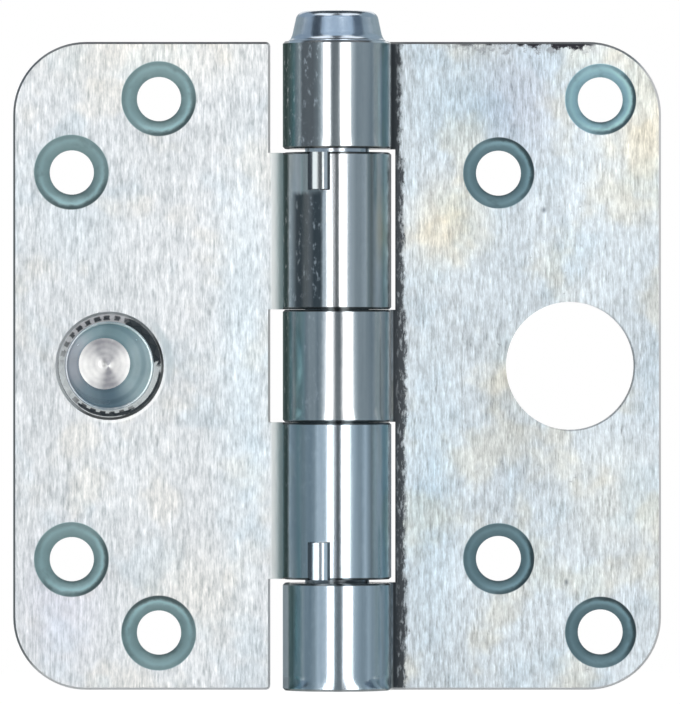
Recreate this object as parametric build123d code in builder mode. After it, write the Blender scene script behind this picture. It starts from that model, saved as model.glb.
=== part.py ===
"""Loose pin butt hinge with a security stud, lying open at 180 degrees.

Millimetres. The pin axis is Z with the pin head up, and the leaves stand on Z = 0.
The frame leaf is on +X and the door leaf on -X. The screw side faces -Y.
"""

import os
from math import asin, cos, degrees, radians, sin

from build123d import *

os.makedirs("parts", exist_ok=True)

# Sheet and overall size
leaf_height = 89.0
open_width = 89.0
sheet = 3.0
corner_radius = 10.0
edge_break = 0.3
slot_corner_radius = 0.6

# Pin and barrel
pin_diameter = 8.8
running_clearance = 0.05
bore_radius = pin_diameter / 2 + running_clearance
barrel_radius = bore_radius + sheet
mid_radius = bore_radius + sheet / 2

# Crank between the barrel and the flat of a leaf
closed_gap = 2.5
leaf_front = closed_gap / 2
leaf_back = leaf_front + sheet
leaf_middle = leaf_front + sheet / 2
crank_angle = 24.0
crank_radius = 3.0
seam_gap = 0.15
curl_end_angle = degrees(asin((bore_radius - seam_gap) / barrel_radius)) - crank_angle

# Knuckles, measured from mid-height
mid_height = leaf_height / 2
middle_knuckle = 15.4
middle_gap = 0.06
door_knuckle = 21.5
end_gap = 0.5
door_knuckle_low = middle_knuckle / 2 + middle_gap
door_knuckle_high = door_knuckle_low + door_knuckle
end_knuckle_low = door_knuckle_high + end_gap
frame_slot_edge = 8.0
door_slot_edge = 9.2

# Screw holes: distance from the leaf's long edge and from its ends
door_screw_radius = 3.05
door_countersink_radius = 5.1
door_outer_row = (20.0, 7.8)
door_inner_row = (8.0, 17.9)
frame_screw_radius = 3.1
frame_countersink_radius = 4.85
frame_outer_row = (8.3, 7.9)
frame_inner_row = (22.3, 18.0)
countersink_angle = 90

# Security stud and the hole that takes it when the hinge is shut
stud_inset = 13.25
stud_hole_inset = 12.5
stud_reach = open_width / 2 - stud_inset
stud_hole_radius = 8.8
stud_height = barrel_radius + leaf_front
stud_radius = 6.1
stud_cylinder = 3.4
stud_rim = 0.35
stud_tip_radius = 3.5
stud_shank_radius = 4.0
stake_depth = 0.9
stake_radius = 7.45
stake_floor_radius = 7.1
knurl_teeth = 24
knurl_radius = 6.95
knurl_root_radius = 6.35
knurl_height = 0.5
centre_mark_radius = 0.55

# Staking grooves in the outer ends of the door leaf's knuckles
groove_angle = 20.0
groove_depth = 0.95
groove_radius = 1.7
groove_length = 5.1

# Pin
head_radius = 6.95
head_top_radius = 5.55
head_height = 4.15
head_edge = 1.0
head_foot = 0.6
pin_tip = 1.0
pin_chamfer = 1.0

# The mid-line of the sheet leaves the barrel at the crank angle
leave_x = mid_radius * sin(radians(crank_angle))
leave_y = mid_radius * cos(radians(crank_angle))
corner_x = leave_x + (leave_y - leaf_middle) / sin(radians(crank_angle)) * cos(radians(crank_angle))
curl_start = 90 - crank_angle
curl_sweep = 270 + crank_angle + curl_end_angle

# Work planes: the front of the leaves and the barrel's middle plane
front = Plane(origin=(0, leaf_front, mid_height), x_dir=(1, 0, 0), z_dir=(0, -1, 0))
middle = Plane(origin=(0, 0, mid_height), x_dir=(1, 0, 0), z_dir=(0, -1, 0))

# Frame leaf: one cranked sheet rolled into the end knuckles and the middle knuckle
with BuildPart() as frame_leaf:
    with BuildSketch(Plane.XY):
        with BuildLine():
            CenterArc((0, 0), mid_radius, curl_start, curl_sweep)
            Line((leave_x, leave_y), (corner_x, leaf_middle))
            flat = Line((corner_x, leaf_middle), (open_width / 2, leaf_middle))
            fillet(flat.vertices().sort_by(Axis.X)[0], radius=crank_radius)
        trace(line_width=sheet)
    extrude(amount=leaf_height)
    with BuildSketch(middle):
        for side in (1, -1):
            with Locations((0, side * (end_knuckle_low + middle_knuckle / 2) / 2)):
                Rectangle(2 * frame_slot_edge, end_knuckle_low - middle_knuckle / 2)
    extrude(amount=2 * barrel_radius, both=True, mode=Mode.SUBTRACT)
    fillet(frame_leaf.edges().filter_by(Axis.Y).group_by(Axis.X)[-1], radius=corner_radius)
    rims = frame_leaf.edges().filter_by(GeomType.CIRCLE)
    chamfer([rim for rim in rims if abs(rim.radius - barrel_radius) < 0.001], length=edge_break)
    front_face = frame_leaf.faces().filter_by(Axis.Y).sort_by(Axis.Y)[0]
    outline = front_face.edges().sort_by(Axis.X)[1:]
    chamfer(outline, length=edge_break)
    with Locations(front):
        with Locations((open_width / 2 - stud_hole_inset, 0)):
            Hole(radius=stud_hole_radius)
        for edge_inset, end_inset in (frame_outer_row, frame_inner_row):
            reach = open_width / 2 - edge_inset
            rise = mid_height - end_inset
            with Locations((reach, rise), (reach, -rise)):
                CounterSinkHole(
                    radius=frame_screw_radius,
                    counter_sink_radius=frame_countersink_radius,
                    counter_sink_angle=countersink_angle,
                )
frame_leaf.part.label = "frame_leaf"
export_step(frame_leaf.part, "parts/frame_leaf.step")

# Door leaf: the mirrored crank rolled into the two long knuckles
with BuildPart() as door_leaf:
    with BuildSketch(Plane.XY):
        with BuildLine():
            CenterArc((0, 0), mid_radius, 180 - curl_start, -curl_sweep)
            Line((-leave_x, leave_y), (-corner_x, leaf_middle))
            flat = Line((-corner_x, leaf_middle), (-open_width / 2, leaf_middle))
            fillet(flat.vertices().sort_by(Axis.X)[-1], radius=crank_radius)
        trace(line_width=sheet)
    extrude(amount=leaf_height)
    with BuildSketch(middle):
        Rectangle(2 * door_slot_edge, 2 * door_knuckle_low)
        for side in (1, -1):
            with Locations((0, side * (door_knuckle_high + mid_height) / 2)):
                Rectangle(2 * door_slot_edge, mid_height - door_knuckle_high)
    extrude(amount=2 * barrel_radius, both=True, mode=Mode.SUBTRACT)
    across = door_leaf.edges().filter_by(Axis.Y)
    fillet(across.group_by(Axis.X)[0], radius=corner_radius)
    slot_corners = [e for e in across if abs(e.center().X + door_slot_edge) < 0.01]
    slot_corners = [e for e in slot_corners if abs(e.center().Z - mid_height) > mid_height - 0.01]
    fillet(slot_corners, radius=slot_corner_radius)
    rims = door_leaf.edges().filter_by(GeomType.CIRCLE)
    chamfer([rim for rim in rims if abs(rim.radius - barrel_radius) < 0.001], length=edge_break)
    front_face = door_leaf.faces().filter_by(Axis.Y).sort_by(Axis.Y)[0]
    outline = [e for e in front_face.edges() if e.center().X < -door_slot_edge + 0.01]
    chamfer(outline, length=edge_break)
    with Locations(front):
        for edge_inset, end_inset in (door_outer_row, door_inner_row):
            reach = open_width / 2 - edge_inset
            rise = mid_height - end_inset
            with Locations((-reach, rise), (-reach, -rise)):
                CounterSinkHole(
                    radius=door_screw_radius,
                    counter_sink_radius=door_countersink_radius,
                    counter_sink_angle=countersink_angle,
                )
    with BuildSketch(Plane.XY.offset(mid_height)):
        with BuildLine():
            Polyline(
                (-stud_reach, leaf_front),
                (-stud_reach + stake_radius, leaf_front),
                (-stud_reach + stake_floor_radius, leaf_front + stake_depth),
                (-stud_reach + stud_shank_radius, leaf_front + stake_depth),
                (-stud_reach + stud_shank_radius, leaf_back),
                (-stud_reach, leaf_back),
                close=True,
            )
        make_face()
    revolve(axis=Axis((-stud_reach, 0, mid_height), (0, 1, 0)), mode=Mode.SUBTRACT)
    groove_centre = barrel_radius + groove_radius - groove_depth
    groove_x = -groove_centre * sin(radians(groove_angle))
    groove_y = -groove_centre * cos(radians(groove_angle))
    for side in (1, -1):
        with BuildSketch(Plane.XY.offset(mid_height + side * door_knuckle_high)):
            with Locations((groove_x, groove_y)):
                Circle(groove_radius)
        extrude(amount=-side * groove_length, mode=Mode.SUBTRACT)
door_leaf.part.label = "door_leaf"
export_step(door_leaf.part, "parts/door_leaf.step")

# Security stud: turned, knurled at its foot and pressed in flush with the back
stud_top = leaf_front - stud_height
with BuildPart() as security_stud:
    with BuildSketch(Plane.XY.offset(mid_height)):
        with BuildLine():
            Polyline(
                (-stud_reach, leaf_back),
                (-stud_reach + stud_shank_radius, leaf_back),
                (-stud_reach + stud_shank_radius, leaf_front + stake_depth),
                (-stud_reach + stud_radius, leaf_front + stake_depth),
                (-stud_reach + stud_radius, leaf_front - stud_cylinder + stud_rim),
                (-stud_reach + stud_radius - stud_rim, leaf_front - stud_cylinder),
                (-stud_reach + stud_tip_radius, stud_top),
                (-stud_reach + centre_mark_radius, stud_top),
                (-stud_reach, stud_top + centre_mark_radius),
                close=True,
            )
        make_face()
    revolve(axis=Axis((-stud_reach, 0, mid_height), (0, 1, 0)))
    with BuildSketch(
        Plane(origin=(-stud_reach, leaf_front + stake_depth, mid_height), x_dir=(1, 0, 0), z_dir=(0, -1, 0))
    ):
        with BuildLine():
            tooth_points = []
            for step in range(2 * knurl_teeth):
                tooth_reach = knurl_radius if step % 2 else knurl_root_radius
                tooth_turn = radians(step * 180 / knurl_teeth)
                tooth_points.append((tooth_reach * cos(tooth_turn), tooth_reach * sin(tooth_turn)))
            Polyline(*tooth_points, close=True)
        make_face()
    extrude(amount=knurl_height)
security_stud.part.label = "security_stud"
export_step(security_stud.part, "parts/security_stud.step")

# Loose pin: dropped in from the top, its head resting on the upper end knuckle
pin_radius = pin_diameter / 2
with BuildPart() as hinge_pin:
    with BuildSketch(Plane.XZ) as pin_section:
        with BuildLine():
            Polyline(
                (0, pin_tip),
                (pin_radius - pin_chamfer, pin_tip),
                (pin_radius, pin_tip + pin_chamfer),
                (pin_radius, leaf_height),
                (head_radius, leaf_height),
                (head_top_radius, leaf_height + head_height),
                (0, leaf_height + head_height),
                close=True,
            )
        make_face()
        chamfer(pin_section.vertices().sort_by(Axis.X)[-1], length=head_foot)
        fillet(pin_section.vertices().group_by(Axis.Y)[-1].sort_by(Axis.X)[-1], radius=head_edge)
    revolve(axis=Axis.Z)
hinge_pin.part.label = "hinge_pin"
export_step(hinge_pin.part, "parts/hinge_pin.step")

for piece in (frame_leaf, door_leaf, security_stud, hinge_pin):
    print(piece.part.label, round(piece.part.volume), piece.part.bounding_box().size)
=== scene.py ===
"""Looks of a loose pin butt hinge: brushed zinc leaves, a turned pin and a turned security stud.

Run as a script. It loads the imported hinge, gives each piece its finish and sets up the stage.
Lengths are in metres. Those of the finishes and those given to length_setting are in millimetres.
"""

from math import cos, pi, radians, sin, tan
from typing import NamedTuple

import bmesh
import bpy
from bpy.props import FloatProperty, FloatVectorProperty, IntProperty, PointerProperty
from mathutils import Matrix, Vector


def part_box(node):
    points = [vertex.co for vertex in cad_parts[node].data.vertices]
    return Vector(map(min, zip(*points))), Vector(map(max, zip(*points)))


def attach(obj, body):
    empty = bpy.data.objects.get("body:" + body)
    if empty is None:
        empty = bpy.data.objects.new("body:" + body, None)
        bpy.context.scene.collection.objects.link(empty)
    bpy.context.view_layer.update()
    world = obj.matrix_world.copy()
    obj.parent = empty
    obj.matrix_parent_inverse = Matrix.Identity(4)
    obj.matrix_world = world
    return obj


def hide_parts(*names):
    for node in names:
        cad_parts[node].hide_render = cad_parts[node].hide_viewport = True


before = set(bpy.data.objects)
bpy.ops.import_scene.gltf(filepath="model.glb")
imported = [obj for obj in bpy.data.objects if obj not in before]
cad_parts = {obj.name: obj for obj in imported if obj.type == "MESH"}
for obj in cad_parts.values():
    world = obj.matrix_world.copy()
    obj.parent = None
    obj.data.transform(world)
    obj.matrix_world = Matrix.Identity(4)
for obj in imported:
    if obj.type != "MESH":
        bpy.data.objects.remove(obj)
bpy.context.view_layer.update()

bl_info = {
    "name": "Loose Pin Hinge Looks",
    "version": (1, 0, 0),
    "blender": (4, 5, 0),
    "location": "View3D > Sidebar > Hinge",
    "description": "Brushed zinc, a turned pin and stud, and a studio stage for a loose pin butt hinge",
    "category": "Object",
}

MM = 0.001
LEAF_FRONT = 1.25
SHEET = 3.0
LEAF_LOW, LEAF_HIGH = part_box("frame_leaf")
PIN_LOW, PIN_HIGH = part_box("hinge_pin")
STUD_LOW, STUD_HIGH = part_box("security_stud")
BARREL_RADIUS = -LEAF_LOW.y
MID_HEIGHT = (LEAF_LOW.z + LEAF_HIGH.z) / 2
STUD_X = (STUD_LOW.x + STUD_HIGH.x) / 2


# Settings

def colour_setting(name, description, default):
    """A colour that a user may change."""
    return FloatVectorProperty(
        name=name, description=description, subtype="COLOR", size=3, min=0.0, max=1.0, default=default)


def length_setting(name, description, millimetres):
    """A length that a user may change: its default is given in millimetres and kept in metres."""
    return FloatProperty(name=name, description=description, unit="LENGTH", default=millimetres * MM)


class HingeLeafSettings(bpy.types.PropertyGroup):
    """Finish of the two leaves"""

    door_tone: colour_setting("Door leaf", "Mean colour of the door leaf's zinc", (0.755, 0.835, 0.865))
    frame_tone: colour_setting("Frame leaf", "Mean colour of the frame leaf's zinc", (0.565, 0.612, 0.638))
    barrel_tone: colour_setting("Barrel", "Colour of the smooth rolled knuckles", (0.81, 0.885, 0.925))
    door_countersink: colour_setting(
        "Door countersinks", "Colour of the door leaf's blue passivated countersinks", (0.38, 0.55, 0.57))
    frame_countersink: colour_setting(
        "Frame countersinks", "Colour of the frame leaf's blue passivated countersinks", (0.222, 0.355, 0.40))
    edge_tone: colour_setting("Cut edges", "Colour of the sheared edges of the sheet", (0.28, 0.285, 0.285))
    grain: FloatProperty(
        name="Grain", description="Contrast of the brushed grain", min=0.0, max=3.0, default=1.479)
    front: length_setting("Front face", "How far the leaves' front lies behind the pin axis", LEAF_FRONT)
    sheet: length_setting("Sheet", "Thickness of the sheet", SHEET)


class HingePinSettings(bpy.types.PropertyGroup):
    """Shape and finish of the loose pin"""

    tone: colour_setting("Zinc", "Colour of the pin's zinc", (0.68, 0.74, 0.80))
    shank_radius: length_setting("Shank radius", "Radius of the pin in the knuckles", 4.4)
    head_height: length_setting("Head height", "Height of the head above the knuckle", 4.15)
    head_radius: length_setting("Head radius", "Radius of the head at its foot", 6.65)
    flange: length_setting("Flange", "Height of the upright flange at the head's foot", 0.14)
    head_top_radius: length_setting("Head top radius", "Radius of the head's top before rounding", 5.45)
    head_edge: length_setting("Head edge", "Rounding of the head's top edge", 1.0)
    head_foot: length_setting("Head foot", "Rounding of the head's foot", 0.1)
    tip_chamfer: length_setting("Tip chamfer", "Chamfer of the pin's lower end", 1.0)
    sides: IntProperty(name="Sides", description="Facets round the pin", min=16, max=256, default=96)


class HingeStudSettings(bpy.types.PropertyGroup):
    """Shape and finish of the security stud"""

    tone: colour_setting("Zinc", "Colour of the stud's passivated cone", (0.68, 0.94, 0.99))
    radius: length_setting("Radius", "Radius of the stud's cylinder", 6.1)
    cylinder: length_setting("Cylinder", "Height of the cylinder above the leaf", 3.4)
    rim: length_setting("Rim", "Width of the step between cylinder and cone", 0.35)
    tip_radius: length_setting("Tip radius", "Radius of the stud's flat top", 3.5)
    lean: FloatVectorProperty(
        name="Lean", description="How far the tip stands out of line with the foot, along X and up",
        subtype="TRANSLATION", size=2, default=(-0.5 * MM, 0.3 * MM))
    seat_depth: length_setting("Seat depth", "How deep the stud's foot sits in its recess", 0.9)
    shank_radius: length_setting("Shank radius", "Radius of the shank in the leaf", 4.0)
    knurl_radius: length_setting("Knurl radius", "Radius over the knurl's teeth", 6.95)
    knurl_root: length_setting("Knurl root", "Radius between the knurl's teeth", 6.35)
    knurl_height: length_setting("Knurl height", "Height of the knurled foot", 0.5)
    teeth: IntProperty(name="Teeth", description="Teeth round the knurl", min=8, max=96, default=24)
    rings: IntProperty(name="Rings", description="Lathe rings on the stud's top", min=2, max=30, default=7)
    sides: IntProperty(name="Sides", description="Facets round the stud", min=16, max=256, default=128)


class HingeStageSettings(bpy.types.PropertyGroup):
    """Camera, lamps and cards"""

    camera_distance: length_setting("Camera distance", "From the camera to the pin axis", 1400.0)
    frame_height: length_setting("Frame height", "Height of the picture at the front of the leaves", 96.7)
    aim: FloatVectorProperty(
        name="Aim", description="Point on the pin axis plane at the middle of the picture",
        subtype="TRANSLATION", size=3, default=(0.0004, 0.0, 0.0464))
    tent_reach: length_setting("Tent reach", "From the pin axis to the lamps and cards", 600.0)
    lamp_level: FloatProperty(
        name="Lamp level", description="Brightness of the two strip lamps, where 1 is white",
        min=0.0, max=4.0, default=2.1)
    floor_radius: length_setting("Floor radius", "Radius of the white floor", 85.0)


# Shader tools

class Wire:
    """An output socket that takes part in arithmetic by adding Math nodes to its tree."""

    def __init__(self, finish, socket):
        self.finish = finish
        self.socket = socket

    def __add__(self, other):
        return self.finish.math("ADD", self, other)

    def __radd__(self, other):
        return self.finish.math("ADD", other, self)

    def __sub__(self, other):
        return self.finish.math("SUBTRACT", self, other)

    def __rsub__(self, other):
        return self.finish.math("SUBTRACT", other, self)

    def __mul__(self, other):
        return self.finish.math("MULTIPLY", self, other)

    def __rmul__(self, other):
        return self.finish.math("MULTIPLY", other, self)

    def __abs__(self):
        return self.finish.math("ABSOLUTE", self)


class Finish:
    """A material, or the world, while its nodes are being wired."""

    def __init__(self, tree):
        self.tree = tree
        self.tree.nodes.clear()

    def node(self, kind, settings=None, inputs=None, output=0):
        """Adds a node: its settings come first, then the values or links of its sockets."""
        made = self.tree.nodes.new(kind)
        for key, value in (settings or {}).items():
            setattr(made, key, value)
        for key, value in (inputs or {}).items():
            if isinstance(value, Wire):
                self.tree.links.new(value.socket, made.inputs[key])
            else:
                made.inputs[key].default_value = value
        return Wire(self, made.outputs[output]) if made.outputs else None

    def math(self, operation, *terms):
        """A Math node on its terms."""
        return self.node("ShaderNodeMath", {"operation": operation}, dict(enumerate(terms)))

    def most(self, first, second):
        """The larger of two values."""
        return self.math("MAXIMUM", first, second)

    def blend(self, share, first, second, how="MIX"):
        """Colour first, going over to colour second."""
        settings = {"data_type": "RGBA", "blend_type": how}
        return self.node("ShaderNodeMix", settings, {0: share, 6: first, 7: second}, output=2)

    def ease(self, value, low, high):
        """0 below low, 1 above high and smooth between; the other way round where low is higher."""
        settings = {"interpolation_type": "SMOOTHSTEP"}
        rising = high > low
        ends = {"From Min": min(low, high), "From Max": max(low, high)}
        ends.update({"To Min": 0.0 if rising else 1.0, "To Max": 1.0 if rising else 0.0})
        return self.node("ShaderNodeMapRange", settings, {"Value": value, **ends})

    def near(self, value, middle, faded, full):
        """1 where a value is no further than full from a middle, fading to 0 at faded."""
        return self.ease(abs(value - middle), faded, full)

    def place(self):
        """Where a point is on its piece, in millimetres."""
        object_place = self.node("ShaderNodeTexCoord", output="Object")
        return self.node(
            "ShaderNodeVectorMath", {"operation": "SCALE"}, {0: object_place, "Scale": 1 / MM})

    def facing(self):
        """The three parts of the direction that a point of the piece faces."""
        return self.split(self.node("ShaderNodeTexCoord", output="Normal"))

    def split(self, vector):
        """The three parts of a vector."""
        parts = self.node("ShaderNodeSeparateXYZ", inputs={0: vector}).socket.node
        return [Wire(self, parts.outputs[axis]) for axis in "XYZ"]

    def stretch(self, vector, factors):
        """A vector with each part times its factor: a factor under 1 draws a pattern out along that axis."""
        return self.node("ShaderNodeVectorMath", {"operation": "MULTIPLY"}, {0: vector, 1: factors})

    def shift(self, vector, offset):
        """A vector moved by an offset."""
        return self.node("ShaderNodeVectorMath", {"operation": "ADD"}, {0: vector, 1: offset})

    def reach(self, first, second):
        """Length of a two-sided step."""
        return self.math("SQRT", first * first + second * second)

    def patch(self, x, z, middle, halves):
        """1 at the middle of an oval patch, fading to 0 at its edge."""
        wide = (x - middle[0]) * (1 / halves[0])
        tall = (z - middle[1]) * (1 / halves[1])
        return self.ease(self.reach(wide, tall), 1.0, 0.0)

    def bands(self, value, stops):
        """A run of colours along a value, from its first stop to its last."""
        start, end = stops[0][0], stops[-1][0]
        share = (value - start) * (1 / (end - start))
        ramp = self.node("ShaderNodeValToRGB", None, {"Fac": share})
        elements = ramp.socket.node.color_ramp.elements
        elements[0].color, elements[1].color = stops[0][1], stops[-1][1]
        for place, colour in stops[1:-1]:
            elements.new((place - start) / (end - start)).color = colour
        return ramp

    def toward(self, angle, direction, half_width):
        """1 where an angle in radians points in a direction in degrees, fading to 0 on both sides."""
        off = self.math("COSINE", angle - radians(direction))
        return self.ease(off, cos(radians(half_width)), 1.0)

    def noise(self, vector, pitch, detail=2.0, rough=0.5):
        """Smooth noise around 0 whose bumps are about pitch millimetres apart."""
        inputs = {"Vector": vector, "Scale": 1 / pitch, "Detail": detail, "Roughness": rough}
        return self.node("ShaderNodeTexNoise", None, inputs) - 0.5


def new_material(name):
    """An empty material and its nodes to be wired."""
    material = bpy.data.materials.new(name)
    material.use_nodes = True
    return material, Finish(material.node_tree)


def finish_metal(metal, colour, roughness, height, metallic=1.0):
    """Closes a metal: colour and roughness over the surface, and a height in millimetres."""
    bump = metal.node("ShaderNodeBump", None, {"Strength": 1.0, "Distance": MM, "Height": height})
    shader = metal.node("ShaderNodeBsdfPrincipled", None, {
        "Base Color": colour,
        "Metallic": metallic,
        "Roughness": roughness,
        "Normal": bump,
    })
    metal.node("ShaderNodeOutputMaterial", None, {"Surface": shader})


def rgb(colour, factor=1.0):
    """A colour as a socket takes it, lightened or darkened by a factor."""
    return (*(min(1.0, part * factor) for part in colour), 1.0)


# Finishes

# Tints that multiply the zinc of the leaves
WARM = (1.10, 1.00, 0.86, 1.0)
COOL = (0.89, 0.965, 1.01, 1.0)
LILAC = (0.93, 0.92, 1.0, 1.0)
DULL = (0.86, 0.87, 0.88, 1.0)
BRIGHT = (1.14, 1.14, 1.14, 1.0)
CLEAR = (1.06, 1.10, 1.12, 1.0)
BLUISH = (0.98, 1.06, 1.12, 1.0)
PITTED = (0.35, 0.36, 0.38, 1.0)

# Tints of the painted reflection and shade bands on the knuckles, from light to dark
GLEAM = (1.0, 1.0, 1.0, 1.0)
PALE = (0.84, 0.86, 0.86, 1.0)
STEEL = (0.62, 0.65, 0.65, 1.0)
SLATE = (0.44, 0.49, 0.51, 1.0)
TEAL = (0.36, 0.48, 0.49, 1.0)
DUSK = (0.36, 0.38, 0.38, 1.0)
LEAD = (0.28, 0.28, 0.28, 1.0)
DEEP_TEAL = (0.25, 0.38, 0.39, 1.0)
BOTTLE = (0.14, 0.21, 0.19, 1.0)
NAVY = (0.12, 0.14, 0.15, 1.0)
# Painted shade in the creases between the barrel and the leaves
CREASE_SHADE = (0.03, 0.07, 0.06, 1.0)

# Colours on the leaves: painted shade, a painted shadow and painted light, and the wear of scuffs and specks
# Painted shade in creases, at recess edges, between beads and at the rim of the hole for the stud
PAINTED_SHADE = (0.05, 0.06, 0.07, 1.0)
# Painted shade in the staked recess round the stud
RECESS_SHADE = (0.03, 0.045, 0.055, 1.0)
SCUFF = (0.03, 0.03, 0.035, 1.0)
SPECK = (0.25, 0.26, 0.27, 1.0)
# Lighter veins in the painted crease shade
VEIN = (0.46, 0.50, 0.53, 1.0)
# Painted shadow to the right of the stud
STUD_SHADOW = (0.42, 0.48, 0.50, 1.0)
CRANK_LIGHT = (0.90, 0.94, 0.93, 1.0)
CRANK_SHADE = (0.60, 0.76, 0.78, 1.0)
# The staked ring in lit and shaded tones: painted light and shade
STAKE_LIGHT = (0.92, 0.96, 0.96, 1.0)
STAKE_SHADED = (0.70, 0.70, 0.72, 1.0)
# Painted highlight beside the staked recess
STAKE_HIGHLIGHT = (1.0, 1.0, 0.98, 1.0)
# Painted light on cut edges, painted shade on the knuckles' ends, and painted light on their top ends for the
# pin head's foot to reflect
EDGE_LIGHT = (0.85, 0.87, 0.88, 1.0)
END_SHADE = (0.12, 0.13, 0.13, 1.0)
END_LIT = (0.92, 0.94, 0.95, 1.0)

# Colours of the stud: painted reflection and shade on its cone, a painted highlight on its rim, tones of its
# faced end, and its back
CONE_LEFT = (0.55, 0.56, 0.62, 1.0)
CONE_BELOW = (0.12, 0.22, 0.29, 1.0)
CONE_ABOVE = (0.22, 0.38, 0.40, 1.0)
CONE_HOLLOW = (0.45, 0.55, 0.60, 1.0)
CONE_RIM = (0.92, 0.93, 0.93, 1.0)
FACED_DARK = (0.30, 0.30, 0.32, 1.0)
FACED_LIGHT = (0.95, 0.94, 0.91, 1.0)
CENTRE_MARK = (0.24, 0.24, 0.24, 1.0)
BACK_DARK = (0.50, 0.54, 0.56, 1.0)
BACK_LIGHT = (0.70, 0.74, 0.76, 1.0)

# Places on the hinge and its sizes in millimetres
MID_Z = MID_HEIGHT / MM
TOP_Z = LEAF_HIGH.z / MM
LEAF_BACK = LEAF_FRONT + SHEET
SCREW_RADIUS = 3.08
HOLE_X, HOLE_RADIUS = 32.0, 8.8
GROOVE_X, GROOVE_Y, GROOVE_RADIUS = -2.8, -7.7, 1.75
GROOVE_LOW, GROOVE_HIGH = 24.1, 29.5

FLAT_ROUGHNESS = 0.42
BARREL_ROUGHNESS = 0.18


class Countersink(NamedTuple):
    """Finish of one countersunk hole. Lengths are in millimetres."""

    x: float
    z: float
    lightness: float
    # Its painted shade rim and painted highlight ridge are strongest in this direction
    dark_side: float  # direction of its dark rim in degrees


class Tint(NamedTuple):
    """An oval patch of the plating that a colour multiplies. Lengths are in millimetres."""

    x: float
    z: float
    half_width: float
    half_height: float
    colour: tuple
    share: float


class Knuckle(NamedTuple):
    """Finish of a stretch of the barrel. Lengths are in millimetres."""

    low: float
    high: float
    tilt: float    # slope of its front along x
    bow: float     # height of its front for each square millimetre of x
    flare: float   # what its lower end adds to the bow
    pitted: float  # share of the pits on its left
    # The bands are painted reflection and shade
    bands: tuple   # x and tint of each stop across its front


class LeafFinish(NamedTuple):
    """What tells one leaf's finish from the other's. Lengths are in millimetres."""

    side: float         # -1 for the leaf on -X, 1 for the leaf on +X
    seed: float         # moves the noise, so that the leaves differ
    warmth: float       # share of the warm clouds
    sink_radius: float  # radius of the countersinks
    countersinks: tuple
    tints: tuple
    knuckles: tuple


# Stops of painted reflection and shade that the door leaf's knuckles share
DOOR_LEFT_BANDS = ((-7.5, DEEP_TEAL), (-7.2, CREASE_SHADE), (-6.85, CREASE_SHADE), (-6.45, STEEL))
UPPER_RIGHT_BANDS = (
    (-0.35, GLEAM), (-0.1, DUSK), (0.1, DUSK), (0.35, GLEAM), (1.4, GLEAM), (1.9, PALE), (2.6, STEEL),
    (3.2, STEEL), (3.9, PALE), (4.3, SLATE), (4.7, DUSK), (5.1, STEEL), (5.5, PALE), (5.95, STEEL),
    (6.35, DEEP_TEAL), (6.85, DEEP_TEAL), (7.2, PALE), (7.5, GLEAM))

DOOR_FINISH = LeafFinish(
    side=-1.0,
    seed=0.0,
    warmth=0.3,
    sink_radius=5.1,
    countersinks=(
        Countersink(-24.5, 81.2, 0.95, -50.0),
        Countersink(-36.5, 71.1, 0.9, -75.0),
        Countersink(-36.5, 17.9, 1.0, -40.0),
        Countersink(-24.5, 7.8, 1.0, 100.0),
    ),
    tints=(
        Tint(-27.0, 88.0, 24.0, 9.0, WARM, 0.5),
        Tint(-20.0, 13.0, 11.0, 11.0, WARM, 0.35),
        Tint(-13.0, 45.0, 8.0, 38.0, COOL, 0.4),
        Tint(-12.5, 45.0, 6.0, 50.0, CLEAR, 1.0),
        Tint(-38.0, 12.0, 9.0, 14.0, LILAC, 0.7),
        Tint(-36.0, 66.0, 10.0, 14.0, COOL, 0.5),
        Tint(-22.0, 43.0, 4.0, 7.0, DULL, 0.7),
        Tint(-19.0, 8.0, 20.0, 18.0, BRIGHT, 1.0),
        Tint(-31.0, 28.0, 11.0, 15.0, BRIGHT, 0.8),
        Tint(-25.0, 86.0, 24.0, 12.0, BRIGHT, 0.6),
        Tint(-42.0, 48.0, 7.0, 26.0, DULL, 0.6),
    ),
    knuckles=(
        Knuckle(15.15, 36.7, 0.04, -0.014, 0.0, 0.2, (
            *DOOR_LEFT_BANDS, (-5.9, SLATE), (-5.4, TEAL), (-4.7, SLATE), (-3.6, SLATE), (-3.1, STEEL),
            (-2.7, GLEAM), (-0.25, GLEAM), (0.05, DUSK), (0.25, DUSK), (0.55, GLEAM), (1.8, GLEAM),
            (2.3, PALE), (2.9, STEEL), (3.3, STEEL), (3.9, GLEAM), (4.3, STEEL), (4.7, DUSK), (5.1, STEEL),
            (5.5, PALE), (5.95, PALE), (6.35, TEAL), (6.85, DEEP_TEAL), (7.2, PALE), (7.5, GLEAM))),
        Knuckle(52.3, 73.85, 0.0, -0.026, 0.0, 0.6, (
            *DOOR_LEFT_BANDS, (-5.95, DUSK), (-5.55, NAVY), (-4.95, NAVY), (-4.4, LEAD), (-3.6, LEAD),
            (-3.15, NAVY), (-2.3, NAVY), (-2.1, DUSK), (-1.9, GLEAM), *UPPER_RIGHT_BANDS)),
        Knuckle(68.9, 73.85, 0.0, 0.0, 0.0, 0.2, (
            *DOOR_LEFT_BANDS, (-5.6, PALE), (-5.0, PALE), (-4.6, STEEL), (-4.1, STEEL), (-3.8, DUSK),
            (-2.0, DUSK), (-1.7, GLEAM), *UPPER_RIGHT_BANDS)),
    ),
)
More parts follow.
